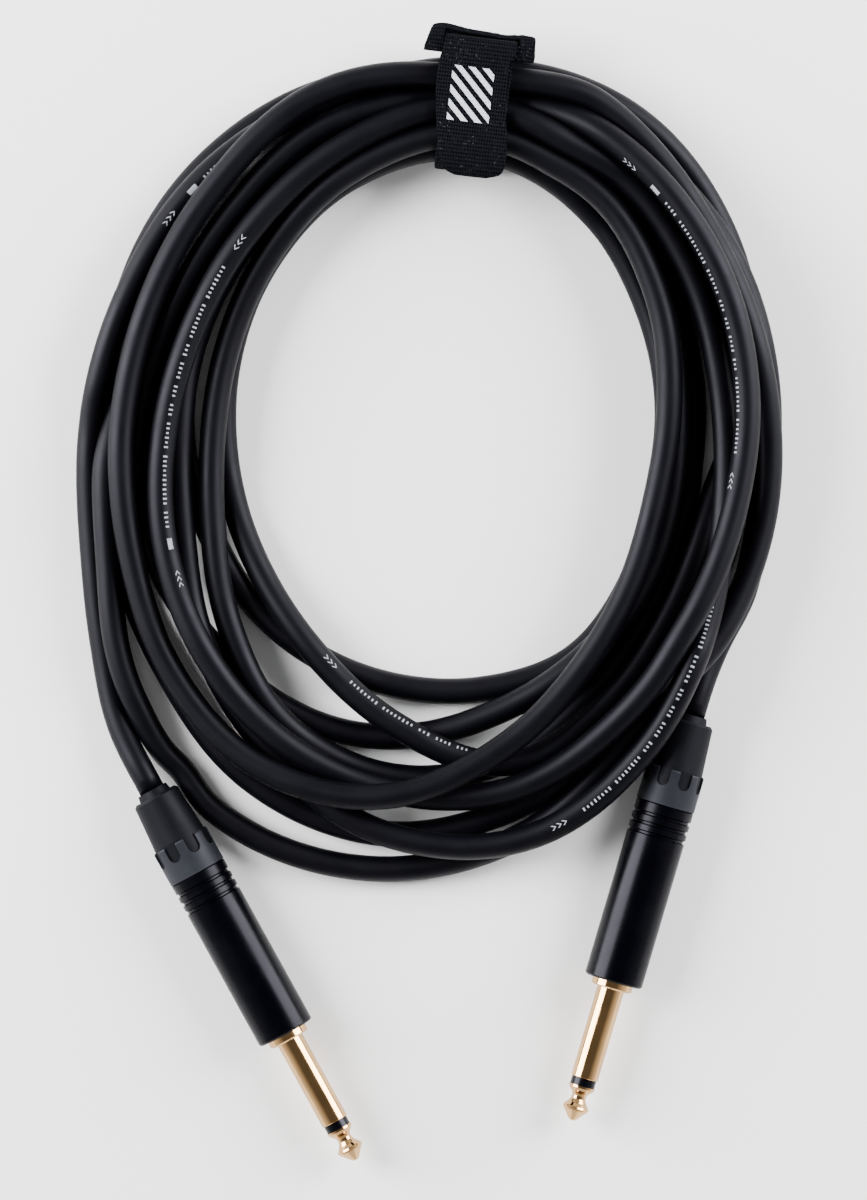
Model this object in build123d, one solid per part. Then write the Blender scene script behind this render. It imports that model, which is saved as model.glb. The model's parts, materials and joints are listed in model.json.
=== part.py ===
from build123d import *
import os
from math import cos, radians, sin, tan

# Instrument cable: two straight 6.35 mm mono plugs on about 4.5 m of round cable, wound into a
# loose egg-shaped coil that lies on the floor and is bundled by a hook-and-loop tie.
# Millimetres. Z is up and the floor is z = 0. The origin is on the floor, under the centre of
# the box around the two plugs and the tie. +Y points from the plugs to the tie.

# ---- driving dimensions -------------------------------------------------------------------
CABLE_D = 6.0                       # outer diameter of the cable's jacket
CABLE_R = CABLE_D / 2
AXIS_Z = 6.9                        # a plug lies on its widest ring, so its axis is this high

# Where each plug lies: the centre of its shell's front face, and the way its tip points.
PLUGS = {
    "plug_a": {"front": (-31.7, -99.6), "heading": -61.1},
    "plug_b": {"front": (43.5, -87.7), "heading": -106.5},
}

# Plug, measured along its own axis: 0 is the shell's front face and the tip is positive.
SHELL_LENGTH = 42.2
SHELL_R = 6.8
SHELL_BORE_R = 5.6
FRONT_WALL = 1.6
NOSE_HOLE_R = 4.0
GROOVE_DEPTH = 0.45
GROOVE_WIDTH = 1.1
GROOVES_AT = (-35.0, -37.2, -39.4)
COLLAR_R = 6.85                     # the nut's ring and its fingers
RING_LENGTH = 4.3                   # plain part of the nut's ring
FINGER_LENGTH = 4.1
FINGER_COUNT = 8
SLOT_WIDTH = 3.1
THREAD_R = 5.5
THREAD_LENGTH = 6.0
THREAD_PITCH = 0.75
THREAD_TURNS = 3
NUT_TRAVEL = THREAD_PITCH * THREAD_TURNS
BOOT_R = 6.3
BOOT_END_R = 5.55
BOOT_END = -62.3
COLLAR_END = -63.8
COLLAR_END_R = 3.9
CHUCK_R = 4.6
CHUCK_BORE_R = CABLE_R + 0.05
SLEEVE_R = 3.175                    # a 6.35 mm plug
FLANGE_R = 4.8
FLANGE_LENGTH = 1.7
SLEEVE_END = 23.2
RING_END = 25.1                     # insulating ring between sleeve and tip
RING_R = 2.9
TIP_END = 33.4
ROD_R = 1.2
TUBE_R = 2.2                        # insulating tube between rod and sleeve
CABLE_CUT = -31.0                   # where the jacket is cut off inside the plug
CORE_WIRE_R = 0.5
SHIELD_R = 0.7                      # the braid, twisted into a tail
SHIELD_X = -2.8                     # how far the tail lies from the plug's axis
STRIP_X = -3.6                      # inner face of the ground lug's strip
SLEEVE_TAIL_R = 3.9                 # the sleeve's tail, in the carrier's boss
SLEEVE_TAIL_END = -9.0
ROD_END = -12.4
TIP_LUG_PLACES = (-11.8, -11.0)     # the ends of each washer on the rod
WASHER_PLACES = (-11.0, -10.2)
GROUND_LUG_PLACES = (-10.0, -9.0)
TAB_X = (1.3, 1.9)                  # the faces of the tip lug's tab
CORE_CUT = -25.0                    # where the core's insulation is stripped
CORE_END = -14.0
CORE_R = 1.4
NUT_TAIL_R = 5.2                    # the nut's tail, inside the boot, where it starts and ends
NUT_TAIL_END_R = 4.8
NUT_TAIL_END = -56.0
CHUCK_GAP = 0.1                     # between the chuck and the nut's bore
CHUCK_FRONT = -34.0
CHUCK_END = -50.6

# Coil, as seen from above: radii from its centre at sixteen places, clockwise from the tie.
COIL_CENTRE = (1.2, 29.7)
TIE_BEARING = 7.0                   # degrees clockwise from +Y
OUTER = (95.5, 97, 90, 83.4, 80.7, 81.5, 84.2, 90.3, 95.7, 96.2, 93.6, 83.5, 81.3, 83.2, 90, 93.9)
INNER = (71.6, 68, 60.1, 54, 49.4, 49.6, 51.3, 49, 47.6, 47, 43, 42.3, 44.8, 50.2, 58, 66.8)
COIL_HEIGHT = 17.5
COIL_EDGE = 3.0                     # rounding of the coil's outer shape
PLUG_CLEARANCE = 0.5                # between the coil and a plug over the nut's travel
SEAT_WIDTH = 18.0                   # of the stretch of the coil that the strap is drawn round
LEAD_STRAIGHT = 5.5                 # a lead leaves its boot straight for this far
LEADS = {
    "plug_a": [(-68.4, -32.9, 6.6), (-70.7, -26.9, 5.6)],
    "plug_b": [(65.4, -15.2, 6.6), (68.2, -9.0, 5.6)],
}

# Tie: a strap round the bundle, a wide head at its outer end, and a tail folded back on top.
STRAP_WIDTH = 16.0
STRAP_THICKNESS = 1.1
HEAD_WIDTH = 25.0
TIE_IN = 70.4                       # radius of the bundle's inner and outer sides
TIE_OUT = 96.4
TIE_TOP = 17.6                      # top of the bundle under the strap
HEAD_LOW = 7.0                      # height of the head's lower edge, on the bundle's outer side
HEAD_IN = 92.4                      # radius of the head's inner edge, on top of the bundle
TAIL_END = 67.6
TAIL_GAP = 0.05                     # between the tail and what it is folded over
FOLD_FROM = 50                      # degrees: where the fold's round part starts, above the horizontal


def frame_of(plug):
    """The plug's own frame: Z along its axis to the tip, X up."""
    heading = radians(plug["heading"])
    front = (plug["front"][0], plug["front"][1], AXIS_Z)
    along = (cos(heading), sin(heading), 0)
    return Plane(origin=front, x_dir=(0, 0, 1), z_dir=along)


def turned(profile):
    """A solid of revolution from (radius, place along the axis) pairs."""
    outline = Polyline(*[(r, 0, z) for r, z in profile], close=True)
    return revolve(make_face(outline), axis=Axis.Z)


def tube(outer, inner, start, end):
    return turned([(inner, start), (outer, start), (outer, end), (inner, end)])


def rod(radius, start, end):
    return Pos(0, 0, start) * Cylinder(radius, end - start, align=(Align.CENTER, Align.CENTER, Align.MIN))


def block(x_low, x_high, y_low, y_high, z_low, z_high):
    """A box from its lowest to its highest corner."""
    size = Box(x_high - x_low, y_high - y_low, z_high - z_low)
    return Pos((x_low + x_high) / 2, (y_low + y_high) / 2, (z_low + z_high) / 2) * size


# ---- the pieces of a plug, in the plug's own frame ----------------------------------------
def shell():
    body = turned([
        (NOSE_HOLE_R, 0), (SHELL_R - 0.4, 0), (SHELL_R, -0.4), (SHELL_R, -SHELL_LENGTH + 0.3),
        (SHELL_R - 0.3, -SHELL_LENGTH), (SHELL_BORE_R, -SHELL_LENGTH),
        (SHELL_BORE_R, -FRONT_WALL), (NOSE_HOLE_R, -FRONT_WALL),
    ])
    for place in GROOVES_AT:
        floor = SHELL_R - GROOVE_DEPTH
        half = GROOVE_WIDTH / 2
        body -= turned([
            (floor, place - half * 0.4), (SHELL_R + 0.1, place - half),
            (SHELL_R + 0.1, place + half), (floor, place + half * 0.4),
        ])
    return body


def finger_slots():
    """The slots between the nut's fingers, round at their closed ends."""
    root = -SHELL_LENGTH - RING_LENGTH - SLOT_WIDTH / 2
    slots = []
    for place in range(FINGER_COUNT):
        long_part = block(0, 9, -SLOT_WIDTH / 2, SLOT_WIDTH / 2, root - 8, root)
        round_end = Pos(4.5, 0, root) * Rot(0, 90, 0) * Cylinder(SLOT_WIDTH / 2, 9)
        slots.append(Rot(0, 0, 360 * (place + 0.5) / FINGER_COUNT) * (long_part + round_end))
    return slots


def clamp_nut():
    """The rear nut: a threaded spigot, a plain ring, and fingers over the boot."""
    ring_end = -SHELL_LENGTH - RING_LENGTH
    tips = ring_end - FINGER_LENGTH
    spigot_end = -SHELL_LENGTH + THREAD_LENGTH
    body = turned([
        (CHUCK_R + CHUCK_GAP, spigot_end), (THREAD_R - 0.3, spigot_end), (THREAD_R, spigot_end - 0.3),
        (THREAD_R, -SHELL_LENGTH), (COLLAR_R, -SHELL_LENGTH), (COLLAR_R, tips + 0.4),
        (COLLAR_R - 0.25, tips), (BOOT_R, tips), (BOOT_R, ring_end), (NUT_TAIL_R, ring_end),
        (NUT_TAIL_END_R, NUT_TAIL_END), (CABLE_R + 0.4, NUT_TAIL_END), (CABLE_R + 0.4, -52.5),
        (CHUCK_R + CHUCK_GAP, -48.0),
    ])
    shell_of_fingers = tube(COLLAR_R + 0.5, BOOT_R, tips - 0.5, ring_end)
    cuts = Part() + [slot & shell_of_fingers for slot in finger_slots()]
    return body - cuts


def boot():
    """The rubber boot, moulded over the nut's tail and flush under its fingers."""
    ring_end = -SHELL_LENGTH - RING_LENGTH
    return turned([
        (BOOT_R, ring_end), (BOOT_R, ring_end - FINGER_LENGTH - 0.4), (BOOT_END_R, BOOT_END + 0.6),
        (BOOT_END_R - 0.6, BOOT_END), (COLLAR_END_R, BOOT_END), (COLLAR_END_R - 0.3, COLLAR_END),
        (CABLE_R + 0.3, COLLAR_END), (CABLE_R + 0.3, NUT_TAIL_END), (NUT_TAIL_END_R, NUT_TAIL_END),
        (NUT_TAIL_R, ring_end),
    ])


def chuck():
    """The collet that grips the cable's jacket, slit from behind."""
    flange = CHUCK_FRONT - 1.6
    body = turned([
        (CHUCK_BORE_R, CHUCK_FRONT), (THREAD_R - 0.1, CHUCK_FRONT), (THREAD_R - 0.1, flange),
        (CHUCK_R, flange), (CHUCK_R, CHUCK_END + 3.0), (CABLE_R + 0.7, CHUCK_END),
        (CHUCK_BORE_R, CHUCK_END),
    ])
    for place in range(3):
        body -= Rot(0, 0, 60 * place) * block(-6, 6, -0.4, 0.4, CHUCK_END - 1.4, -40)
    for place in range(4):
        ring = -42.0 - 2 * place
        body -= turned([(CHUCK_BORE_R - 0.1, ring), (CHUCK_BORE_R + 0.5, ring - 0.5),
                        (CHUCK_BORE_R - 0.1, ring - 1.0)])
    return body


def insert_carrier():
    """The moulded carrier inside the shell: a boss round the sleeve, and an open trough behind."""
    boss = tube(SHELL_BORE_R, SLEEVE_TAIL_R, SLEEVE_TAIL_END, -FRONT_WALL)
    trough = tube(SHELL_BORE_R, 4.6, CABLE_CUT - 1, SLEEVE_TAIL_END) - block(0.6, 7, -7, 7, -30.0, -10.5)
    return boss + trough


def sleeve():
    """The gold sleeve contact, its flange outside the shell and its tail in the carrier."""
    return turned([
        (TUBE_R, SLEEVE_TAIL_END), (SLEEVE_TAIL_R, SLEEVE_TAIL_END), (SLEEVE_TAIL_R, 0), (FLANGE_R, 0),
        (FLANGE_R, FLANGE_LENGTH - 0.3), (FLANGE_R - 0.3, FLANGE_LENGTH), (SLEEVE_R, FLANGE_LENGTH),
        (SLEEVE_R, SLEEVE_END - 0.1), (SLEEVE_R - 0.1, SLEEVE_END), (TUBE_R, SLEEVE_END),
    ])


def front_insulator():
    """The black ring before the tip, one piece with the tube round the tip's rod."""
    return turned([
        (ROD_R, SLEEVE_TAIL_END), (TUBE_R, SLEEVE_TAIL_END), (TUBE_R, SLEEVE_END), (RING_R, SLEEVE_END),
        (RING_R, RING_END), (ROD_R, RING_END),
    ])


def tip():
    """The tip contact: rod, flare, neck, bulb and rounded point."""
    return turned([
        (0, ROD_END), (ROD_R, ROD_END), (ROD_R, RING_END), (3.0, RING_END), (3.05, 25.6), (2.6, 26.2),
        (1.9, 26.9), (1.65, 27.5), (1.7, 28.2), (2.2, 29.1), (2.9, 29.9), (3.1, 30.35),
        (2.9, 30.8), (1.5, 32.4), (0.9, 33.1), (0.45, 33.35), (0, TIP_END),
    ])


def rear_insulator():
    return tube(3.6, ROD_R, *WASHER_PLACES)


def ground_lug():
    """Washer on the sleeve's tail, and a strip along the trough that the shield is soldered to."""
    washer = tube(4.5, TUBE_R + 0.2, *GROUND_LUG_PLACES)
    strip = block(-4.3, STRIP_X, -1.4, 1.4, -31.8, GROUND_LUG_PLACES[0])
    return washer + strip


def tip_lug():
    """Solder lug riveted to the rod's end."""
    washer = tube(2.4, ROD_R, *TIP_LUG_PLACES)
    tab = block(*TAB_X, -1.2, 1.2, -19.5, TIP_LUG_PLACES[0])
    return washer + tab


def core_wire():
    return rod(CORE_WIRE_R, CORE_CUT, CORE_END)


def core_insulation():
    return rod(CORE_R, CABLE_CUT, CORE_CUT)


def shield_tail():
    """The braid, twisted into a tail beside the core and laid on the ground lug."""
    path = FilletPolyline((SHIELD_X + 0.6, 0, CABLE_CUT), (SHIELD_X + 0.6, 0, -28.6), (SHIELD_X, 0, -26.2),
                          (SHIELD_X, 0, -20.0), radius=2.0)
    section = Plane(origin=path @ 0, z_dir=path % 0) * Circle(SHIELD_R)
    return sweep(section, path=path)


def bead(inner, outer, start, end):
    """A bead of solder, swollen in the middle, round a wire."""
    third = (end - start) / 3
    bulge = outer - 0.15
    return turned([(inner, start), (bulge, start + third / 2), (outer, start + 1.5 * third),
                   (bulge, end - third / 2), (inner, end)])


def solder_joints():
    """Two beads: core wire to tip lug, shield to ground lug."""
    tip_bead = bead(CORE_WIRE_R, 1.7, -18.6, -15.4) - block(TAB_X[0], 3, -3, 3, -20, -12)
    shield_bead = Pos(SHIELD_X, 0, 0) * bead(SHIELD_R, 1.2, -23.6, -20.4)
    shield_bead -= block(-6, STRIP_X, -3, 3, -30, -12)
    return Part() + [tip_bead, shield_bead]


def jacket_end():
    """The last stretch of the cable's jacket, inside the plug."""
    return rod(CABLE_R, COLLAR_END, CABLE_CUT)


PLUG_PIECES = {
    "shell": shell,
    "clamp_nut": clamp_nut,
    "boot": boot,
    "chuck": chuck,
    "insert_carrier": insert_carrier,
    "sleeve": sleeve,
    "front_insulator": front_insulator,
    "rear_insulator": rear_insulator,
    "tip": tip,
    "tip_lug": tip_lug,
    "ground_lug": ground_lug,
    "core_wire": core_wire,
    "core_insulation": core_insulation,
    "shield_tail": shield_tail,
    "solder_joints": solder_joints,
    "jacket_end": jacket_end,
}


# ---- coil, leads and tie -------------------------------------------------------------------
def ring_point(station, radius, height=0.0):
    """A point of the coil: station counts sixteenths of a turn clockwise from the tie."""
    bearing = radians(TIE_BEARING + 22.5 * station)
    return Vector(COIL_CENTRE[0] + radius * sin(bearing), COIL_CENTRE[1] + radius * cos(bearing), height)


def outline(radii):
    points = [ring_point(station, radius) for station, radius in enumerate(radii)]
    return Face(Wire([Spline(*points, periodic=True)]))


def tie_frame():
    """The tie's frame: Y outwards along the strap, from the coil's centre, and Z up."""
    bearing = radians(TIE_BEARING)
    outward = Vector(sin(bearing), cos(bearing), 0)
    return Plane(origin=ring_point(0, 0), x_dir=(outward.Y, -outward.X, 0), z_dir=(0, 0, 1))


def coil():
    """The outer shape of the whole coil, clear of both plugs, with a seat for the strap."""
    flat = outline(OUTER) - outline(INNER)
    body = extrude(flat, COIL_HEIGHT, dir=(0, 0, 1))
    edges = [edge for edge in body.edges() if abs(edge.bounding_box().min.Z - COIL_HEIGHT) < 0.01]
    body = fillet(edges, COIL_EDGE)
    for plug in PLUGS.values():
        reach = COLLAR_END - NUT_TRAVEL - PLUG_CLEARANCE
        room = rod(COLLAR_R + PLUG_CLEARANCE, -60, 0) + rod(BOOT_R + PLUG_CLEARANCE, reach, -50)
        body -= frame_of(plug).location * room
    half = SEAT_WIDTH / 2
    seat = block(-half, half, 60, TIE_IN + 0.1, -1, 30) + block(-half, half, TIE_OUT - 0.1, 110, -1, 30)
    seat += block(-half, half, 60, 110, TIE_TOP - 1.2, 30)
    seat += block(-half, half, 60, 110, -1, STRAP_THICKNESS)
    return body - tie_frame().location * seat


def lead_route(plug, points):
    """The lead's route: straight out of the boot along the plug's axis, then the listed points."""
    place = frame_of(plug).location
    out = [(place * Pos(0, 0, along)).position for along in (COLLAR_END, COLLAR_END - LEAD_STRAIGHT)]
    return out + [Vector(*point) for point in points]


def lead(plug, points, body):
    """A plain tube from the boot to the coil, cut where it meets the coil."""
    route = lead_route(plug, points)
    radii = []
    for before, here, after in zip(route, route[1:], route[2:]):
        turn = (here - before).get_angle(after - here)
        shorter = min((here - before).length, (after - here).length)
        radii.append(0.45 * shorter / tan(radians(turn) / 2))
    path = FilletPolyline(*route, radius=radii)
    section = Plane(origin=path @ 0, z_dir=path % 0) * Circle(CABLE_R)
    whole = sweep(section, path=path)
    return whole - body


def across(points, width):
    """A strip of constant width whose cross-section is given as (radius, height) pairs."""
    face = make_face(Plane.YZ * Polyline(*points, close=True))
    return extrude(face, width / 2, both=True)


def tie_strap():
    """The strap round the bundle, one piece with its wide head.

    The head climbs the bundle's outer side and ends in a cross bar on top. The strap comes over
    the bundle under that bar and leaves through the slot, where the tail folds back.
    """
    t = STRAP_THICKNESS
    half = STRAP_WIDTH / 2
    around = across([(TIE_IN - t, 0), (TIE_OUT + t, 0), (TIE_OUT + t, TIE_TOP + t),
                     (TIE_IN - t, TIE_TOP + t)], STRAP_WIDTH)
    around -= block(-half - 1, half + 1, TIE_IN, TIE_OUT, t, TIE_TOP)
    turns = [edge for edge in around.edges().filter_by(Axis.X) if edge.center().Z > TIE_TOP + 0.9 * t
             or edge.center().Y < TIE_IN - 0.9 * t]
    around = fillet(turns, 0.9)
    inner, outer, top = TIE_OUT + t, TIE_OUT + 2 * t, TIE_TOP + 2 * t
    head = across([(inner, HEAD_LOW), (outer, HEAD_LOW), (outer, top), (HEAD_IN, top),
                   (HEAD_IN, top - t), (inner, top - t)], HEAD_WIDTH)
    ends = [edge for edge in head.edges().filter_by(Axis.Y) if edge.center().Z < HEAD_LOW + 0.1]
    ends += [edge for edge in head.edges().filter_by(Axis.Z) if edge.center().Y < HEAD_IN + 0.1]
    return around + fillet(ends, 2.5)


def tie_tail():
    """The free end of the strap, folded back over the head's bar and pressed on the strap.

    The fold is round about the line that the tail turns on when it is lifted.
    """
    t = STRAP_THICKNESS
    fold = TIE_OUT + 2 * t
    low = TIE_TOP + t + TAIL_GAP
    turn = CenterArc((fold, low + t), t, FOLD_FROM, 90 - FOLD_FROM)
    rest = Polyline(
        turn @ 1, (HEAD_IN - 0.8, low + 2 * t), (HEAD_IN - 2.5, low + t), (TAIL_END, low + t),
        (TAIL_END, low), (HEAD_IN - 2.0, low), (HEAD_IN - 0.3, low + t), (fold, low + t), turn @ 0,
    )
    tail = extrude(make_face(Plane.YZ * (turn + rest)), STRAP_WIDTH / 2, both=True)
    corners = [edge for edge in tail.edges().filter_by(Axis.Z) if edge.center().Y < TAIL_END + 0.1]
    return fillet(corners, 3.5)


def main():
    os.makedirs("parts", exist_ok=True)
    nodes = {}
    for name, plug in PLUGS.items():
        place = frame_of(plug).location
        for piece, make in PLUG_PIECES.items():
            nodes[f"{name}_{piece}"] = place * make()
    body = coil()
    nodes["cable_coil"] = body
    for name, points in LEADS.items():
        nodes[f"{name}_lead"] = lead(PLUGS[name], points, body)
    nodes["tie_strap"] = tie_frame().location * tie_strap()
    nodes["tie_tail"] = tie_frame().location * tie_tail()
    for name, solid in nodes.items():
        export_step(solid, f"parts/{name}.step")


main()
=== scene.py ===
import json
from math import cos, pi, radians, sin

import bpy
import numpy as np
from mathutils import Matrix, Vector


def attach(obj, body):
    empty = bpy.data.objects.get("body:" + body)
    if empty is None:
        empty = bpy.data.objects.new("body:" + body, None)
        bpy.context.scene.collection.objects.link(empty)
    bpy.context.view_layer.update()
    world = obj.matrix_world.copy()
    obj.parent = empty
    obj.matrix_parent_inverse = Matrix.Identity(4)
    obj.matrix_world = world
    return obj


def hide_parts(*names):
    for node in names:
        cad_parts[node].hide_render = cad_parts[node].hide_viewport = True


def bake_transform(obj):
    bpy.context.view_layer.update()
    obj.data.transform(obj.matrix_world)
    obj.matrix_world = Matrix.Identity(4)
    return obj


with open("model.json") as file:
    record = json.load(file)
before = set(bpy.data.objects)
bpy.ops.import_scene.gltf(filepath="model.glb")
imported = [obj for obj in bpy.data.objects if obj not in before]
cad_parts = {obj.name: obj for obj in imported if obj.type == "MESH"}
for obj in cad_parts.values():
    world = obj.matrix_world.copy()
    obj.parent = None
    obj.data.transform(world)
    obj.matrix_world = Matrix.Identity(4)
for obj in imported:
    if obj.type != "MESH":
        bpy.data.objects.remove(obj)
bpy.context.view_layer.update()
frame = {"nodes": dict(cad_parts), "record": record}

# Metres and radians, except the winding, the print and the tie, which are worked out in millimetres.
MM = 0.001

# ---- places that the CAD part gives ---------------------------------------------------------
# The two plugs: the centre of the shell's front face, and the way the tip points.
PLUGS = {
    "plug_a": {"front": (-0.0317, -0.0996, 0.0069), "heading": radians(-61.1)},
    "plug_b": {"front": (0.0435, -0.0877, 0.0069), "heading": radians(-106.5)},
}
# The leads' routes between the boot's end and the coil.
LEADS = {
    "plug_a": [(-0.0684, -0.0329, 0.0066), (-0.0707, -0.0269, 0.0056)],
    "plug_b": [(0.0654, -0.0152, 0.0066), (0.0682, -0.0090, 0.0056)],
}
BOOT_END = -0.0638                  # along the plug's axis, from the shell's front face
LEAD_STRAIGHT = 0.0055              # a lead leaves its boot straight for this far
COIL_CENTRE = (0.0012, 0.0297)
TIE_BEARING = radians(7.3)          # clockwise from +Y
CABLE_D = 0.006
CABLE_R = CABLE_D / 2

# ---- the winding ----------------------------------------------------------------------------
STATIONS = 16                       # of a turn, from the tie clockwise
# One row for each turn: the radius in millimetres at each station, and the layer that the strand
# lies in there, counted in halves of a layer.
TURNS = [
    ((92.8, 94.1, 86.9, 76, 64.8, 63.8, 67, 69.7, 59, 50.1, 45.8, 45.2, 47.6, 53.1, 61, 69.7),
     "2200000222100000"),
    ((74.6, 71, 63.1, 57, 52.6, 53.2, 54.5, 52, 50.3, 50, 50.8, 52.7, 57.5, 62.2, 67.8, 74),
     "2000000000000000"),
    ((77.6, 76, 67.5, 59, 56, 56, 55.8, 57.8, 62, 64.5, 64.5, 66.8, 66.5, 68.3, 74.8, 81),
     "0000221000000000"),
    ((83.6, 85.2, 79.8, 73.6, 70.5, 71, 75.5, 80, 84.4, 82.3, 76.1, 73.4, 69.4, 69.4, 74.4, 83.3),
     "0002000000002222"),
    ((86.7, 85.8, 80.9, 75, 70.4, 69.6, 71.8, 75.8, 74.2, 70.3, 66, 62.8, 61.3, 62.8, 68.2, 76.3),
     "3344443224434443"),
    ((83.7, 82.5, 75.3, 69.4, 68.1, 72.2, 80.8, 87.3, 84, 74, 65.5, 58.6, 57.8, 62, 67.8, 75),
     "2222234220202222"),
    ((80.6, 77.5, 69.3, 60, 59.3, 60, 63, 69, 71, 66.9, 58, 51.4, 50.2, 53.8, 61.2, 70.6),
     "2000000012222222"),
    ((77.7, 75.2, 65.8, 57, 52.3, 53, 57.2, 65.5, 75, 78.2, 74.9, 70.9, 71, 74.3, 81, 90),
     "4224444442224444"),
    ((90, 88.5, 82.9, 79.2, 77.7, 76.6, 76.4, 86.4, 92.6, 93.1, 87.1, 76, 72.9, 80.3, 86.9, 90.9),
     "4232231000210000"),
]
# Where the cable comes into the first turn and leaves the last: station, radius, half-layers.
WAY_IN = [(-6.5, 97.3, 1.5), (-6, 90.4, 0), (-5, 80.2, 0), (-4, 78.4, 0), (-3, 80.1, 2),
          (-2, 84.7, 2), (-1, 88.3, 2)]
WAY_OUT = [(0, 89.7, 0), (1, 88, 0), (2, 85.2, 1), (3, 80.4, 0), (4, 77, 0), (5, 78.6, 0)]
COIL_STARTS, COIL_STOPS = -5.6, STATIONS * len(TURNS) + 4.75
STATION_STEP = 0.25                 # between the planned points
LAYER = 5.8                         # from one layer's centre to the next
TOUCH = 6.06                        # least distance between two strands' centres

# How the strands settle.
SPACING = 2.5                       # between the points of the cable that move
STEPS = 300
SINKING_STEPS = 0.8 * STEPS         # in these they sink and are pulled towards the plan
SINK = 0.03                         # how far they sink in a step
FOLLOW, FOLLOW_LATE = 0.1, 0.02     # how much of the way to the plan they go in a step
PULL_GROWS, PULL_MOST = 0.03, 2.5   # of the growing pull towards the plan
NEAR_SHARE, FAR_SHARE = 0.25, 0.05  # of the next points' heights, and those four away, taken over
PAIR_STEPS, PAIR_MARGIN = 8, 3      # how often neighbours are looked for, and how far beyond touch
ROUNDS = 3                          # of pushing apart in a step
CROWD = 0.45                        # a push is shared by so much of the strands that touch there
EDGE, EDGE_FREE = 1.6, 0.15         # strands this near the coil's edge, and how freely they move
SECTOR = 5                          # degrees of the coil in which its edges are looked for
BOOT_POINTS = 3                     # at each end, held in the boot
LEAD_POINTS = 14                    # at each end, that their own plug doesn't push
PLUG_GAP = 0.1                      # between a plug and a strand beside it
# Where the tie keeps the strands' centres: half its width, and the limits outwards and up.
STRAP = {"half": 9.0, "inner": 73.6, "outer": 93.3, "low": 4.2, "high": 14.5}
# A plug's reach for a strand beside it: place along the axis and radius, its nut drawn back.
PLUG_REACH = [(-82.0, 1.0), (-67.2, 4.6), (-65.2, 5.95), (-62.0, 6.15), (-51.0, 6.6), (-50.0, 7.0),
              (0.0, 7.0)]


def smooth_through(x, places, values):
    """A smooth line through uneven places, read at x."""
    slopes = np.gradient(values, places)
    i = np.clip(np.searchsorted(places, x, side="right") - 1, 0, len(places) - 2)
    gap = places[i + 1] - places[i]
    t = (x - places[i]) / gap
    return ((2 * t**3 - 3 * t**2 + 1) * values[i] + (t**3 - 2 * t**2 + t) * gap * slopes[i]
            + (3 * t**2 - 2 * t**3) * values[i + 1] + (t**3 - t**2) * gap * slopes[i + 1])


def wound(station, radius):
    """X and Y in millimetres of a place on the coil."""
    bearing = TIE_BEARING + np.radians(360 / STATIONS) * station
    return np.column_stack((COIL_CENTRE[0] / MM + radius * np.sin(bearing),
                            COIL_CENTRE[1] / MM + radius * np.cos(bearing)))


def on_axis(name, along):
    """The point of a plug's axis that lies so far from the shell's front face."""
    plug = PLUGS[name]
    heading = plug["heading"]
    return Vector(plug["front"]) + along * Vector((cos(heading), sin(heading), 0))


def lead(name):
    """A lead's points in metres, from the boot outwards."""
    return [on_axis(name, BOOT_END), on_axis(name, BOOT_END - LEAD_STRAIGHT), *map(Vector, LEADS[name])]


def planned_route():
    """The whole cable as it is meant to lie, in millimetres, before its strands settle.

    Also gives each point's station on the coil.
    """
    knots = list(WAY_IN)
    for turn, (radii, layers) in enumerate(TURNS):
        knots += [(STATIONS * turn + k, radii[k], int(layers[k])) for k in range(STATIONS)]
    knots += [(STATIONS * len(TURNS) + station, radius, layer) for station, radius, layer in WAY_OUT]
    knots = np.array(knots)
    stations = np.arange(COIL_STARTS, COIL_STOPS, STATION_STEP)
    flat = wound(stations, smooth_through(stations, knots[:, 0], knots[:, 1]))
    height = CABLE_R / MM + LAYER / 2 * np.interp(stations, knots[:, 0], knots[:, 2])
    coil = np.column_stack((flat, height))
    first = np.array(lead("plug_a")) / MM
    last = np.array(lead("plug_b"))[::-1] / MM
    points = np.vstack((first, coil, last))
    stations = np.concatenate((np.full(len(first), stations[0]), stations,
                               np.full(len(last), stations[-1])))
    length = np.concatenate(([0], np.cumsum(np.linalg.norm(np.diff(points[:, :2], axis=0), axis=1))))
    even = np.linspace(0, length[-1], int(length[-1] / SPACING) + 1)
    route = np.column_stack([smooth_through(even, length, points[:, axis]) for axis in range(3)])
    return route, np.interp(even, length, stations)


def close_pairs(points, reach):
    """Pairs of points of different strands that lie nearer than reach."""
    apart = ((points[:, None] - points[None]) ** 2).sum(-1)
    return np.nonzero(np.triu(apart < reach * reach, k=6))


def push_strands(points, first, second, free):
    """Moves strands apart where they overlap."""
    count = len(points)
    gap = points[first] - points[second]
    distance = np.sqrt((gap * gap).sum(-1)) + 1e-9
    lap = np.clip(TOUCH - distance, 0, None)
    push = gap * (0.5 * lap / distance)[:, None]
    move = np.column_stack([np.bincount(first, push[:, k], count) - np.bincount(second, push[:, k], count)
                            for k in range(3)])
    crowd = np.bincount(first, lap > 0, count) + np.bincount(second, lap > 0, count)
    points += move / np.maximum(1, CROWD * crowd)[:, None] * free[:, None]


def push_off_plug(points, name, own):
    """Moves strands out of a plug, but for the plug's own lead."""
    heading = PLUGS[name]["heading"]
    axis = np.array((cos(heading), sin(heading), 0))
    offset = points - np.array(PLUGS[name]["front"]) / MM
    along = offset @ axis
    side = offset - along[:, None] * axis
    distance = np.linalg.norm(side, axis=1) + 1e-9
    places, reach = np.array(PLUG_REACH).T
    need = np.interp(along, places, reach) + CABLE_R / MM + PLUG_GAP
    need[(along < places[0]) | (along > places[-1]) | own] = 0
    points += side * (np.clip(need - distance, 0, None) / distance)[:, None]


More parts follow.
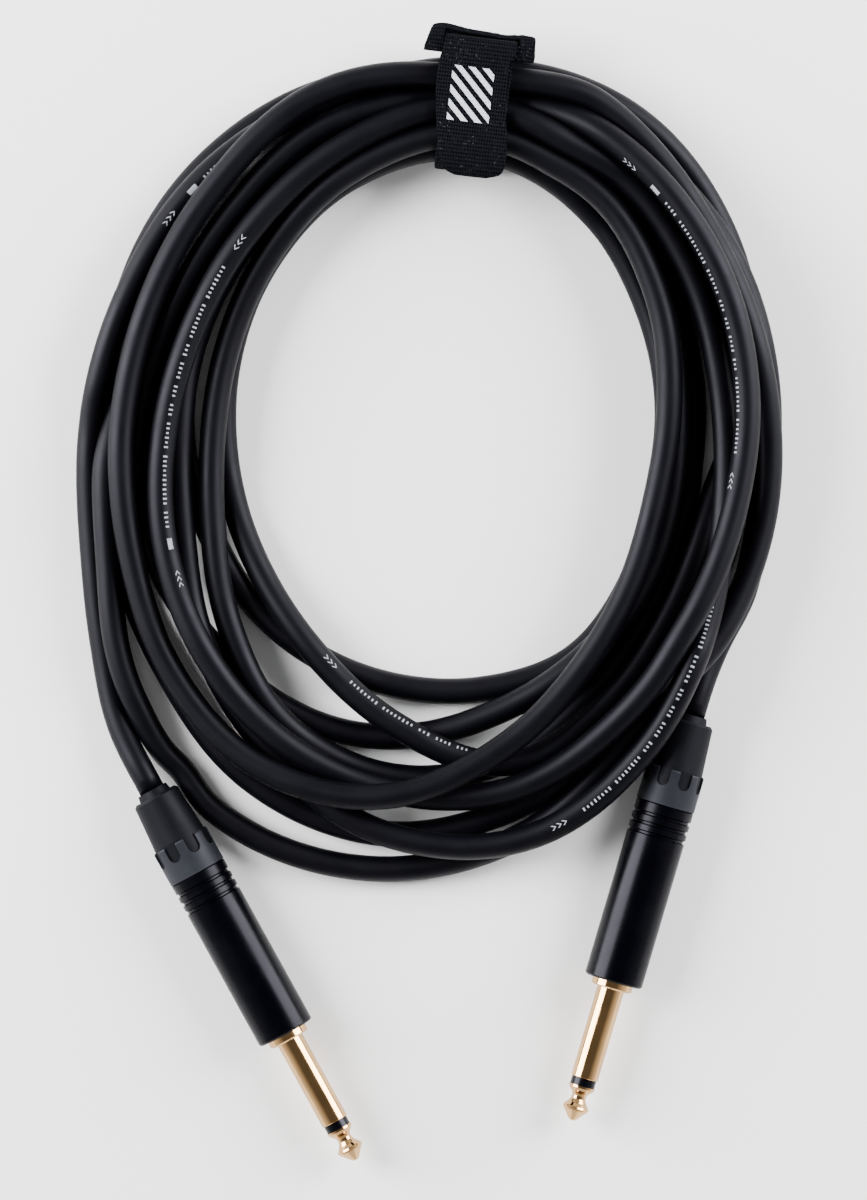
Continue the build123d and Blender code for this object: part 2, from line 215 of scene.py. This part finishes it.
def hold_in_strap(points):
    """Keeps the bundle inside the tie."""
    across = np.array((cos(TIE_BEARING), -sin(TIE_BEARING)))
    outward = np.array((sin(TIE_BEARING), cos(TIE_BEARING)))
    offset = points[:, :2] - np.array(COIL_CENTRE) / MM
    out = offset @ outward
    inside = (np.abs(offset @ across) < STRAP["half"]) & (out > 0)
    held = np.clip(out, STRAP["inner"], STRAP["outer"]) - out
    points[:, :2] += np.where(inside, held, 0)[:, None] * outward
    points[inside, 2] = np.clip(points[inside, 2], STRAP["low"], STRAP["high"])


def grip(plan):
    """How freely each point moves: little on the coil's inner and outer edges, not at all in a boot."""
    offset = plan[:, :2] - np.array(COIL_CENTRE) / MM
    radius = np.linalg.norm(offset, axis=1)
    sector = np.floor(np.degrees(np.arctan2(offset[:, 0], offset[:, 1])) / SECTOR)
    free = np.ones(len(plan))
    for place in np.unique(sector):
        here = sector == place
        edge = (radius < radius[here].min() + EDGE) | (radius > radius[here].max() - EDGE)
        free[here & edge] = EDGE_FREE
    free = np.convolve(np.pad(free, 4, mode="edge"), np.ones(9) / 9, mode="valid")
    free[:BOOT_POINTS] = free[-BOOT_POINTS:] = 0
    return free


def settled(plan):
    """The cable as it comes to rest: near its plan, stiff, and with no strand in another.

    The pull towards the plan grows where a strand stays off it.
    """
    points = plan.copy()
    count = len(points)
    place = np.arange(count)
    free = grip(plan)
    pull = np.zeros((count, 2))
    for step in range(STEPS):
        if step % PAIR_STEPS == 0:
            first, second = close_pairs(points, TOUCH + PAIR_MARGIN)
        sinking = step < SINKING_STEPS
        if sinking:
            pull += PULL_GROWS * (plan[:, :2] - points[:, :2])
            pull *= np.minimum(1, PULL_MOST / (np.linalg.norm(pull, axis=1) + 1e-9))[:, None]
            points[:, 2] -= SINK * free
        points[:, :2] += (FOLLOW if sinking else FOLLOW_LATE) * (plan[:, :2] + pull - points[:, :2])
        shift = points[:, :2] - plan[:, :2]
        even = shift.copy()
        even[2:-2] = (shift[:-4] + shift[1:-3] + shift[2:-2] + shift[3:-1] + shift[4:]) / 5
        points[:, :2] = plan[:, :2] + even * free[:, None]
        height = points[:, 2].copy()
        height[4:-4] = (1 - 2 * FAR_SHARE) * height[4:-4] + FAR_SHARE * (points[:-8, 2] + points[8:, 2])
        height[1:-1] = (1 - 2 * NEAR_SHARE) * height[1:-1] + NEAR_SHARE * (height[:-2] + height[2:])
        points[:, 2] += (height - points[:, 2]) * free
        for _ in range(ROUNDS):
            push_strands(points, first, second, free)
            push_off_plug(points, "plug_a", place < LEAD_POINTS)
            push_off_plug(points, "plug_b", place >= count - LEAD_POINTS)
            hold_in_strap(points)
            points[:, 2] = np.maximum(points[:, 2], CABLE_R / MM)
    return points


# ---- small helpers ----------------------------------------------------------------------------
def add(name, data, material=None):
    """A new object of the scene."""
    made = bpy.data.objects.new(name, data)
    bpy.context.scene.collection.objects.link(made)
    if material:
        data.materials.append(material)
    return made


def spline_of(name, points):
    """A curve object of one smooth open spline."""
    curve = bpy.data.curves.new(name, "CURVE")
    curve.dimensions = "3D"
    curve.resolution_u = 3
    spline = curve.splines.new("NURBS")
    spline.points.add(len(points) - 1)
    for point, place in zip(spline.points, points):
        point.co = (*place, 1)
    spline.order_u = 3
    spline.use_endpoint_u = True
    return add(name, curve)


def points_of(curve_object):
    """The points along a curve's own line."""
    mesh = bpy.data.meshes.new_from_object(curve_object)
    points = np.empty(len(mesh.vertices) * 3)
    mesh.vertices.foreach_get("co", points)
    bpy.data.meshes.remove(mesh)
    points = points.reshape(-1, 3)
    steps = np.linalg.norm(np.diff(points, axis=0), axis=1)
    return points[np.concatenate(([True], steps > 1e-6))]


# ---- materials --------------------------------------------------------------------------------
class Nodes:
    """A material's node tree, with short calls to add to it."""

    def __init__(self, name):
        self.material = bpy.data.materials.new(name)
        self.material.use_nodes = True
        self.tree = self.material.node_tree
        self.shader = self.tree.nodes["Principled BSDF"]

    def add(self, kind, inputs=None, **settings):
        node = self.tree.nodes.new(kind)
        for key, value in settings.items():
            setattr(node, key, value)
        for key, value in (inputs or {}).items():
            self.put(node.inputs[key], value)
        return node

    def put(self, socket, value):
        if isinstance(value, bpy.types.NodeSocket):
            self.tree.links.new(value, socket)
        else:
            socket.default_value = value

    def set(self, **inputs):
        """Sets or links the shader's own sockets, by name."""
        for key, value in inputs.items():
            self.put(self.shader.inputs[key.replace("_", " ")], value)

    def math(self, operation, first, second=0.0, third=0.0):
        node = self.add("ShaderNodeMath", {0: first, 1: second, 2: third}, operation=operation)
        return node.outputs[0]

    def near(self, value, middle, reach):
        """One where the value is within reach of the middle, and nought elsewhere."""
        return self.math("COMPARE", value, middle, reach)

    def both(self, first, second):
        return self.math("MULTIPLY", first, second)

    def either(self, *parts):
        whole = parts[0]
        for part in parts[1:]:
            whole = self.math("MAXIMUM", whole, part)
        return whole

    def place(self):
        return self.add("ShaderNodeTexCoord").outputs["Object"]

    def noise(self, scale, detail=2.0, roughness=0.5):
        """Smooth noise in space, about 0.3 to 0.7."""
        node = self.add("ShaderNodeTexNoise", {"Scale": scale, "Detail": detail, "Roughness": roughness,
                                               "Vector": self.place()})
        return node.outputs["Fac"]

    def attribute(self, name):
        """The three numbers of a mesh attribute."""
        vector = self.add("ShaderNodeAttribute", attribute_name=name).outputs["Vector"]
        split = self.add("ShaderNodeSeparateXYZ", {"Vector": vector})
        return split.outputs["X"], split.outputs["Y"], split.outputs["Z"]

    def ramp(self, value, low, high, start=0.0, end=1.0):
        """The value's stretch from start to end, turned into one from low to high."""
        return self.add("ShaderNodeMapRange", {"Value": value, "From Min": start, "From Max": end,
                                               "To Min": low, "To Max": high}).outputs["Result"]

    def mix(self, factor, first, second):
        node = self.add("ShaderNodeMix", data_type="RGBA")
        colours = [socket for socket in node.inputs if socket.type == "RGBA"]
        self.put(node.inputs[0], factor)
        self.put(colours[0], first)
        self.put(colours[1], second)
        return next(socket for socket in node.outputs if socket.type == "RGBA")

    def bump(self, height, distance, strength):
        node = self.add("ShaderNodeBump", {"Height": height, "Distance": distance, "Strength": strength})
        return node.outputs["Normal"]


BLUE_CAST = 0.0006                  # the extra blue in the object's blacks
SHINE_TINT = (0.87, 0.86, 1.0, 1)   # of what they reflect


def grey(shade, tint=0.0):
    """A grey with the blue cast of the object's blacks, and bluer still by the tint."""
    return (shade * (1 - tint), shade, shade * (1 + 2 * tint) + BLUE_CAST, 1)


def dull(name, shade, rough, shine=0.5, grain=3500.0, depth=0.00002, patch=90.0, mark=None):
    """Rubber, paint or plastic: cloudy shade and gloss, and a fine grain."""
    n = Nodes(name)
    clouds = n.noise(patch, 4.0, 0.6)
    fine = n.noise(grain, 3.0, 0.7)
    colour = n.mix(n.ramp(clouds, 0, 1, 0.3, 0.7), grey(shade * 0.75, 0.1), grey(shade * 1.3, 0.1))
    colour = n.mix(n.ramp(fine, 0, 0.5, 0.55, 0.8), colour, grey(shade * 3, 0.1))
    if mark:
        colour = n.mix(mark(n), colour, grey(0.27, 0.05))
    n.set(Base_Color=colour, Roughness=n.ramp(clouds, rough - 0.05, rough + 0.06, 0.3, 0.7),
          Normal=n.bump(fine, depth, 0.6), Specular_IOR_Level=shine, Specular_Tint=SHINE_TINT)
    return n.material


def metal(name, colour, rough, wear=180.0, depth=0.000004):
    """Plated or drawn metal: cloudy gloss, and fine scratches."""
    n = Nodes(name)
    clouds = n.noise(wear, 3.0)
    dark = tuple(part * 0.85 for part in colour) + (1,)
    n.set(Base_Color=n.mix(n.ramp(clouds, 0, 1, 0.3, 0.7), dark, (*colour, 1)), Metallic=1.0,
          Roughness=n.ramp(clouds, rough - 0.03, rough + 0.05, 0.3, 0.7),
          Normal=n.bump(n.noise(2500.0, 3.0), depth, 0.4))
    return n.material


# The cable's print, in millimetres along it and across it: three chevrons at each end, a plain bar
# and rows of plain ticks.
PRINT_LENGTH = 85.5
CHEVRON = {"count": 3, "pitch": 1.4, "half": 0.58, "stroke": 0.2, "slant": 1.45}
BAR = {"middle": 10.5, "half": 1.3, "high": 0.6}
TICKS = {"start": 14.0, "pitch": 1.09, "groups": (4, 11, 6, 3, 3, 4, 3, 8, 8), "wide": 0.19}


def cable_print(n):
    """The print as a mask, from the cable's attribute: place along, place across, and one on it."""
    along, across, printed = n.attribute("print")
    off = n.math("ABSOLUTE", across)

    def chevrons(start, way):
        length = CHEVRON["count"] * CHEVRON["pitch"]
        run = n.math("MULTIPLY", n.math("SUBTRACT", along, start), way)
        step = n.math("WRAP", run, CHEVRON["pitch"], 0.0)
        tip = n.math("MULTIPLY_ADD", off, -CHEVRON["slant"], 0.8 * CHEVRON["pitch"])
        stroke = n.both(n.near(step, tip, CHEVRON["stroke"]), n.near(off, 0.0, CHEVRON["half"]))
        return n.both(stroke, n.near(run, length / 2, length / 2))

    bar = n.both(n.near(along, BAR["middle"], BAR["half"]), n.near(off, 0.0, BAR["high"]))
    count = n.math("DIVIDE", n.math("SUBTRACT", along, TICKS["start"]), TICKS["pitch"])
    rows, first = [], 0
    for ticks in TICKS["groups"]:
        rows.append(n.near(count, first + ticks / 2, ticks / 2))
        first += ticks + 1
    tick = n.near(n.math("FRACT", count), 0.5, TICKS["wide"])
    number = n.math("FLOOR", count)
    height = n.add("ShaderNodeTexWhiteNoise", {"W": number}, noise_dimensions="1D").outputs["Value"]
    tick = n.both(tick, n.math("LESS_THAN", off, n.ramp(height, 0.3, 0.5)))
    mask = n.either(chevrons(0.0, 1), chevrons(PRINT_LENGTH, -1), bar, n.both(tick, n.either(*rows)))
    worn = n.ramp(n.noise(1800.0, 3.0, 0.7), 1.0, 0.45, 0.5, 0.75)
    return n.both(n.both(mask, worn), n.math("GREATER_THAN", printed, 0.5))


# The tie's cloth, in millimetres: the pitch of its ribs and of its threads, and its printed mark, a
# plain hatched panel, with its middle and half size across and along.
RIB_PITCH = 0.85
THREAD_PITCH = 0.6
LABEL = {"middle": (-1.0, 18.4), "half": (4.8, 6.3), "hatch": 3.2}


def tie_cloth():
    """The tie's fabric, from its attribute: millimetres across it and along it, and how fuzzy."""
    n = Nodes("tie_fabric")
    across, along, fuzz = n.attribute("weave")
    ribs = n.math("SINE", n.math("MULTIPLY", along, 2 * pi / RIB_PITCH))
    warp = n.math("SINE", n.math("MULTIPLY", across, 2 * pi / THREAD_PITCH))
    weave = n.math("MULTIPLY", n.math("ADD", ribs, warp), 0.5)
    loops = n.noise(1500.0, 4.0, 0.75)
    height = n.math("ADD", n.both(weave, n.math("SUBTRACT", 1.0, fuzz)), n.both(loops, fuzz))
    cells = n.add("ShaderNodeTexVoronoi", {"Scale": 1300.0, "Vector": n.place()}).outputs["Distance"]
    glint = n.both(n.math("LESS_THAN", cells, 0.19), n.ramp(n.noise(260.0), 0, 1, 0.5, 0.62))
    # Painted shade: the cloth's colour is darker in the weave's hollows and lighter on its crests.
    colour = n.mix(n.ramp(weave, 0, 1, -0.6, 1), grey(0.0001, 0.1), grey(0.006, 0.1))
    colour = n.mix(n.ramp(loops, 0, 1, 0.5, 0.75), colour, grey(0.006, 0.05))
    colour = n.mix(glint, colour, grey(0.03, 0.05))
    colour = n.mix(label_mask(n, across, along, loops), colour, grey(0.5, 0.05))
    n.set(Base_Color=colour, Roughness=n.ramp(loops, 0.7, 0.95), Specular_IOR_Level=0.02,
          Normal=n.bump(height, 0.00012, 0.7))
    return n.material


def label_mask(n, across, along, grain):
    """The hatched panel as a mask, worn where the cloth's loops come through."""
    panel = n.both(n.near(across, LABEL["middle"][0], LABEL["half"][0]),
                   n.near(along, LABEL["middle"][1], LABEL["half"][1]))
    slant = n.math("FRACT", n.math("DIVIDE", n.math("ADD", across, along), LABEL["hatch"]))
    return n.both(n.both(panel, n.math("LESS_THAN", slant, 0.5)), n.math("LESS_THAN", grain, 0.66))


MATERIALS = {
    "cable_jacket": dull("cable_jacket", 0.0004, 0.48, 0.12),
    "shell_paint": dull("shell_paint", 0.0001, 0.27, 0.085, 2500.0, 0.000008),
    "nut_plastic": dull("nut_plastic", 0.009, 0.5, 0.16, 5000.0, 0.00003),
    "boot_rubber": dull("boot_rubber", 0.0008, 0.55, 0.11, 4000.0, 0.00003),
    "chuck_plastic": dull("chuck_plastic", 0.01, 0.45, 0.3),
    "carrier_plastic": dull("carrier_plastic", 0.008, 0.4, 0.3),
    "contact_gold": metal("contact_gold", (0.62, 0.37, 0.16), 0.08),
    "insulator_plastic": dull("insulator_plastic", 0.0006, 0.25, 0.15),
    "lug_brass": metal("lug_brass", (0.7, 0.62, 0.45), 0.3),
    "copper": metal("copper", (0.8, 0.42, 0.26), 0.25, 900.0, 0.00003),
    "core_plastic": dull("core_plastic", 0.55, 0.4),
    "solder": metal("solder", (0.62, 0.63, 0.65), 0.32, 500.0, 0.00002),
    "tie_fabric": tie_cloth(),
}
# The cable's own jacket, with its print.
PRINTED = dull("cable_jacket_printed", 0.0004, 0.48, 0.12, mark=cable_print)


# ---- the cable --------------------------------------------------------------------------------
# Where the print shows: the turn, the station at which a block starts, and in millimetres how far
# inwards of the strand's top line the block lies at its start and at its end, and how much of its
# start is rubbed off. Turn 0 is the way in.
PRINTS = [(0, 13.5, 0.0, 0.8, 0.0), (1, 5.65, 3.0, 1.4, 36.0), (5, 1.11, 2.3, 2.3, 0.0),
          (5, 10.55, 1.6, 0.0, 0.0), (6, 4.1, 0.0, 0.0, 0.0)]


def cable_mesh(path, stations, sides=24):
    """A round tube along the path, with the print's place at each face's corners."""
    ahead = np.gradient(path, axis=0)
    ahead /= np.linalg.norm(ahead, axis=1)[:, None]
    up = np.array((0.0, 0.0, 1.0)) - ahead[:, 2:3] * ahead
    up /= np.linalg.norm(up, axis=1)[:, None]
    side = np.cross(ahead, up)
    angle = np.linspace(0, 2 * pi, sides, endpoint=False)
    ring = np.cos(angle)[None, :, None] * up[:, None] + np.sin(angle)[None, :, None] * side[:, None]
    verts = (path[:, None] + CABLE_R * ring).reshape(-1, 3)
    i, k = np.meshgrid(np.arange(len(path) - 1), np.arange(sides), indexing="ij")
    i, k = i.ravel(), k.ravel()
    corner_ring = np.stack((i, i + 1, i + 1, i), 1)
    corner_side = np.stack((k, k, k + 1, k + 1), 1)
    faces = (corner_ring * sides + corner_side % sides).tolist()
    faces.append(list(range(sides)))
    faces.append([(len(path) - 1) * sides + k for k in reversed(range(sides))])
    mesh = bpy.data.meshes.new("cable")
    mesh.from_pydata(verts.tolist(), [], faces)
    mesh.shade_smooth()

    place = np.concatenate(([0], np.cumsum(np.linalg.norm(np.diff(path, axis=0), axis=1)))) / MM
    marks = np.zeros((len(mesh.loops), 3))
    tube = marks[:corner_ring.size].reshape(-1, 4, 3)
    for turn, station, start, end, rubbed in PRINTS:
        begins = np.interp(STATIONS * (turn - 1) + station, stations, place)
        along = place[corner_ring] - begins
        inward = start + (end - start) * np.clip(along / PRINT_LENGTH, 0, 1)
        turned = 2 * pi / sides * corner_side - np.arcsin(inward * MM / CABLE_R)
        middle = turned.mean(axis=1, keepdims=True)
        turned += 2 * pi * (middle < -pi) - 2 * pi * (middle > pi)
        here = (along.max(axis=1) > rubbed) & (along.min(axis=1) < PRINT_LENGTH)
        tube[here] = np.stack((along, turned * CABLE_R / MM, np.ones_like(along)), -1)[here]
    layer = mesh.attributes.new("print", "FLOAT_VECTOR", "CORNER")
    layer.data.foreach_set("vector", marks.ravel())
    return mesh


def make_cable():
    """The whole cable, from boot to boot."""
    plan, stations = planned_route()
    route = settled(plan) * MM
    kept = np.unique(np.append(np.arange(0, len(route), 2), len(route) - 1))
    guide = spline_of("cable_guide", route[kept].tolist())
    path = points_of(guide)
    bpy.data.objects.remove(guide)
    whole = np.linspace(0, 1, len(path))
    mesh = cable_mesh(path, np.interp(whole, np.linspace(0, 1, len(stations)), stations))
    cable = add("cable", mesh, PRINTED)
    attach(cable, "cable")
    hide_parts("cable_coil", "plug_a_lead", "plug_b_lead")


# ---- the tie ----------------------------------------------------------------------------------
# Millimetres, in the tie's own frame: across it, outwards from the coil's centre, and up.
TIE_TURN = radians(7.0)             # the CAD tie's bearing
CLOTH, THIN_CLOTH = 1.1, 0.9        # thickness of the strap, and of its head
LOOP_LEFT, LOOP_RIGHT = -7.3, 7.7   # the edges of the loop
FOLD_LEFT, FOLD_RIGHT = -8.2, 8.1   # and of the fold and the tail's root
HINGE = (98.6, 19.85)               # the CAD tail's axis, outwards and up
FOLD_OUT = 98.0                     # where the fold goes round, a little inwards of the hinge
FOLD_R = 0.65                       # of the fold's middle line
FUZZ_STARTS, FUZZ_GROWS = 24, 3     # along the tail from its free end: loops instead of weave
OFF_LABEL = 100.0                   # counts the cloth of the other bands from well past the label


def tie_point(across, out, up):
    """Points in the scene's frame and metres, from the tie's own."""
    x = across * cos(TIE_TURN) + out * sin(TIE_TURN)
    y = -across * sin(TIE_TURN) + out * cos(TIE_TURN)
    return np.stack((x * MM + COIL_CENTRE[0], y * MM + COIL_CENTRE[1], up * MM), -1)


def even_line(points, spacing, closed=False):
    """A line through (out, up) points, in even steps: smooth, or closed and straight between them."""
    points = np.array(points, float)
    if closed:
        points = np.vstack((points, points[:1]))
    length = np.concatenate(([0], np.cumsum(np.linalg.norm(np.diff(points, axis=0), axis=1))))
    steps = np.linspace(0, length[-1], int(length[-1] / spacing) + 1)
    read = np.interp if closed else smooth_through
    line = np.column_stack([read(steps, length, points[:, k]) for k in range(2)])
    return line[:-1] if closed else line


def evenly(value):
    """The same value all over a band."""
    return lambda across, along: np.full_like(across, value)


def sheet_faces(shape, closed):
    """The four-cornered faces of a sheet of points, whose last row meets its first if it is closed."""
    grid = np.arange(shape[0] * shape[1]).reshape(shape)
    nexts = np.roll(grid, -1, 0) if closed else grid[1:]
    here = grid if closed else grid[:-1]
    return np.stack((here[:, :-1], here[:, 1:], nexts[:, 1:], nexts[:, :-1]), -1).reshape(-1, 4)


def thickened(face, size):
    """A sheet's faces, with those of its other side, size points on, and of the wall round its rim."""
    edges = np.concatenate([np.stack((face[:, k], face[:, (k + 1) % 4]), -1) for k in range(4)])
    rim = edges[~np.isin(edges[:, 0] * size + edges[:, 1], edges[:, 1] * size + edges[:, 0])]
    wall = np.stack((rim[:, 1], rim[:, 0], rim[:, 0] + size, rim[:, 1] + size), -1)
    return np.concatenate((face, face[:, ::-1] + size, wall))


def band(name, line, left, right, relief, closed=False, columns=56, fuzz=evenly(0.0), thick=CLOTH,
         start=OFF_LABEL, slot=None, bow=evenly(0.0)):
    """A band of woven cloth along a line of (out, up) points, its outer face on the line's left.

    left and right give its edges, from the place along it. From the place across it and along it,
    relief gives how far its outer face stands out, bow how far both faces do, and fuzz how much of
    its cloth is loops. start is where its cloth is counted from, and a slot is its half width and its
    two ends along the band.
    """
    steps = np.roll(line, -1, 0) - np.roll(line, 1, 0) if closed else np.gradient(line, axis=0)
    steps /= np.linalg.norm(steps, axis=1)[:, None]
    normal = np.column_stack((-steps[:, 1], steps[:, 0]))
    along = np.concatenate(([0], np.cumsum(np.linalg.norm(np.diff(line, axis=0), axis=1))))
    share = np.linspace(-1, 1, columns)
    low, high = left(along)[:, None], right(along)[:, None]
    across = low + (high - low) * (share + 1) / 2
    rows = np.broadcast_to(along[:, None], across.shape)
    half = np.broadcast_to(thick / 2 * np.sqrt(1 - 0.75 * np.abs(share) ** 30), across.shape)
    bowed = bow(across, rows)
    sheets = []
    for offset in (half + relief(across, rows) + bowed, bowed - half):
        out = line[:, :1] + normal[:, :1] * offset
        up = line[:, 1:] + normal[:, 1:] * offset
        sheets.append(tie_point(across, out, up).reshape(-1, 3))
    verts = np.concatenate(sheets)
    weave = np.stack((across, rows + start, fuzz(across, rows)), -1).reshape(-1, 3)

    face = sheet_faces(across.shape, closed)
    if slot:
        middle = weave[face].mean(axis=1)
        along_slot = (middle[:, 1] > slot[1] + start) & (middle[:, 1] < slot[2] + start)
        face = face[~(along_slot & (np.abs(middle[:, 0]) < slot[0]))]
    used, faces = np.unique(thickened(face, across.size), return_inverse=True)
    mesh = bpy.data.meshes.new(name)
    mesh.from_pydata(verts[used].tolist(), [], faces.reshape(-1, 4).tolist())
    mesh.shade_smooth()
    layer = mesh.attributes.new("weave", "FLOAT_VECTOR", "POINT")
    layer.data.foreach_set("vector", np.concatenate((weave, weave))[used].ravel())
    made = add(name, mesh, MATERIALS["tie_fabric"])
    return made


def rib(across, along):
    """Selvage ribs near a strap's edges, and a finer weave between them."""
    edge = np.clip((np.abs(across) - 5.0) / 1.5, 0, 1)
    ribs = 0.06 * np.cos(2 * pi * along / RIB_PITCH)
    weave = 0.025 * np.cos(2 * pi * along / THREAD_PITCH) * np.cos(2 * pi * across / THREAD_PITCH)
    return edge * ribs + (1 - edge) * weave


def pile(across, along):
    """The loop side's uneven pile."""
    random = np.random.default_rng(7)
    waves = sum(np.sin(random.uniform(2, 7) * across + random.uniform(2, 7) * along + random.uniform(0, 6))
                for _ in range(14))
    return 0.035 * waves


def steady(value):
    """A straight edge."""
    return lambda along: np.full_like(along, value)


def shaped(places, values):
    """An edge through listed places along the strap, rounded between them."""
    return lambda along: smooth_through(along, np.array(places, float), np.array(values, float))


def make_strap():
    """The strap's loop round the bundle."""
    corner = 3.4
    inner, outer, low, top = 69.85, 96.95, 0.55, 18.15
    turns = [(inner + corner, low + corner, 180, 270), (outer - corner, low + corner, 270, 360),
             (outer - corner, top - corner, 0, 90), (inner + corner, top - corner, 90, 180)]
    points = [(x + corner * cos(radians(a)), y + corner * sin(radians(a)))
              for x, y, start, end in turns for a in np.linspace(start, end, 9)]
    line = even_line(points[::-1], 0.4, closed=True)
    strap = band("tie_strap_loop", line, steady(LOOP_LEFT), steady(LOOP_RIGHT), rib, closed=True)
    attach(strap, "cable")
    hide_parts("tie_strap")


def make_head():
    """The strap's wide end: over the bundle's top and down its outer side, with the slot at the turn."""
    points = [(94.7, 19.5), (98.4, 19.5), (100.3, 18.5), (100.9, 16.0), (100.5, 12.5), (99.4, 9.0),
              (98.5, 6.2)]
    line = even_line(points, 0.25)
    total = np.linalg.norm(np.diff(line, axis=0), axis=1).sum()
    places = np.array((0, 0.8, 2.5, 0.4 * total, total - 3, total - 1.2, total))
    left = shaped(places, (-12.9, -12.9, -12.5, -11.4, -11.0, -10.4, -8.6))
    right = shaped(places, (12.3, 12.5, 12.4, 12.1, 12.0, 11.4, 9.4))
    head = band("tie_head", line, left, right, pile, columns=84, fuzz=evenly(1.0), thick=THIN_CLOTH,
                slot=(8.7, 3.2, 5.7), bow=wave)
    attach(head, "cable")
    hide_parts("tie_strap")


def wave(across, along):
    """How far the head turns out at its left end and bows in at its right, on its outer side."""
    places = (-13.0, -12.0, -10.5, -9.3, -6.5, -3.6, 2.2, 5.0, 6.4, 8.0, 9.5, 12.3, 13.0)
    bow = (-0.8, -0.3, 0.15, 0.3, 0.1, -0.3, -0.6, -0.75, -0.7, -0.5, -0.4, -0.5, -0.7)
    return np.interp(across, places, bow) * np.clip((along - 3) / 3, 0, 1)


def make_fold():
    """The short fold between the strap and its tail."""
    turn = [(FOLD_OUT + FOLD_R * cos(radians(a)), HINGE[1] + FOLD_R * sin(radians(a)))
            for a in range(90, -75, -15)]
    points = [(FOLD_OUT - 2.5, HINGE[1] + FOLD_R), *turn, (FOLD_OUT - 1.5, HINGE[1] - FOLD_R - 0.3)]
    line = even_line(points, 0.25)
    fold = band("tie_fold", line, steady(FOLD_LEFT), steady(FOLD_RIGHT), rib, thick=0.85)
    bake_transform(fold)


def make_tail():
    """The free end, folded back over the head and pressed on the strap."""
    points = [(98.2, 20.4), (96.9, 20.75), (94.5, 20.8), (91.0, 20.35), (87.0, 20.0), (82.0, 19.7),
              (76.0, 19.55), (71.5, 19.1), (69.0, 18.4), (67.9, 17.6)]
    line = even_line(points, 0.3)[::-1]
    total = np.linalg.norm(np.diff(line, axis=0), axis=1).sum()
    places = np.array((0, 0.7, 2.2, 4.5, 9, 14, 20, 27, total - 2, total))
    left = shaped(places, (-2.6, -4.4, -5.8, -6.6, -7.6, -8.4, -9.1, -8.8, -8.4, FOLD_LEFT))
    right = shaped(places, (5.0, 7.2, 8.5, 8.8, 8.4, 7.7, 7.1, 7.3, 8.0, FOLD_RIGHT))

    def fuzzy(across, along):
        return np.clip((along - FUZZ_STARTS) / FUZZ_GROWS, 0, 1)

    def surface(across, along):
        loops = fuzzy(across, along)
        crown = 0.35 * (1 - (across / 9) ** 2) * np.clip((total - along) / 4, 0, 1)
        return crown + (1 - loops) * rib(across, along) + 0.7 * loops * pile(across, along)

    tail = band("tie_tail_panel", line, left, right, surface, columns=90, fuzz=fuzzy, start=0.0)
    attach(tail, "tie_tail")
    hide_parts("tie_tail")


# ---- stage ------------------------------------------------------------------------------------
FLOOR_HALF = 2


def make_stage():
    """The floor that the cable lies on."""
    n = Nodes("floor")
    n.set(Base_Color=(0.93, 0.93, 0.93, 1), Roughness=0.7, Specular_IOR_Level=0.1)
    mesh = bpy.data.meshes.new("floor")
    corners = [(x * FLOOR_HALF, y * FLOOR_HALF, 0) for x, y in ((-1, -1), (1, -1), (1, 1), (-1, 1))]
    mesh.from_pydata(corners, [], [(0, 1, 2, 3)])
    floor = add("floor", mesh, n.material)


def softbox(name, place, size, power):
    """A soft light that faces the frame's origin."""
    light = bpy.data.lights.new(name, "AREA")
    light.shape = "RECTANGLE"
    light.size, light.size_y = size
    light.energy = power
    made = add(name, light)
    made.location = place
    made.rotation_euler = (-Vector(place)).to_track_quat("-Z", "Y").to_euler()


ZENITH, HORIZON = 0.17, 1.55        # the studio's own brightness, overhead and level


def make_lights():
    """Two softboxes, low on either side, in a bright studio with a darker ceiling."""
    softbox("left_softbox", (-0.92, 0.25, 0.5), (0.6, 1.0), 52)
    softbox("right_softbox", (0.88, 0.42, 0.5), (0.6, 0.9), 42)
    world = bpy.data.worlds.new("studio")
    world.use_nodes = True
    tree = world.node_tree
    place = tree.nodes.new("ShaderNodeTexCoord")
    split = tree.nodes.new("ShaderNodeSeparateXYZ")
    level = tree.nodes.new("ShaderNodeMapRange")
    for socket, value in (("From Min", 0.1), ("From Max", 0.9), ("To Min", HORIZON), ("To Max", ZENITH)):
        level.inputs[socket].default_value = value
    tree.links.new(place.outputs["Generated"], split.inputs["Vector"])
    tree.links.new(split.outputs["Z"], level.inputs["Value"])
    tree.links.new(level.outputs["Result"], tree.nodes["Background"].inputs["Strength"])
    tree.nodes["Background"].inputs["Color"].default_value = (1, 1, 1, 1)
    bpy.context.scene.world = world


VIEW_CENTRE = (0.0022, -0.0001)     # the point that the camera stands over
VIEW_HEIGHT = 0.2759                # what the frame's long side covers, at the plugs' axes
CAMERA_HEIGHT = 1.4
AXIS_HEIGHT = PLUGS["plug_a"]["front"][2]


def make_camera():
    """The photo's camera, which looks straight down."""
    data = bpy.data.cameras.new("camera")
    data.sensor_width = 36
    data.lens = data.sensor_width * (CAMERA_HEIGHT - AXIS_HEIGHT) / VIEW_HEIGHT
    camera = add("camera", data)
    camera.location = (*VIEW_CENTRE, CAMERA_HEIGHT)
    bpy.context.scene.camera = camera


def dress_nodes():
    """Gives each CAD node the material of its slot in the record."""
    slots = {part["node"]: part["material_slot"] for part in frame["record"]["subparts"]}
    for name, node in frame["nodes"].items():
        node.data.materials.clear()
        node.data.materials.append(MATERIALS[slots[name]])


dress_nodes()
make_camera()
make_cable()
make_strap()
make_head()
make_fold()
make_tail()
make_stage()
make_lights()
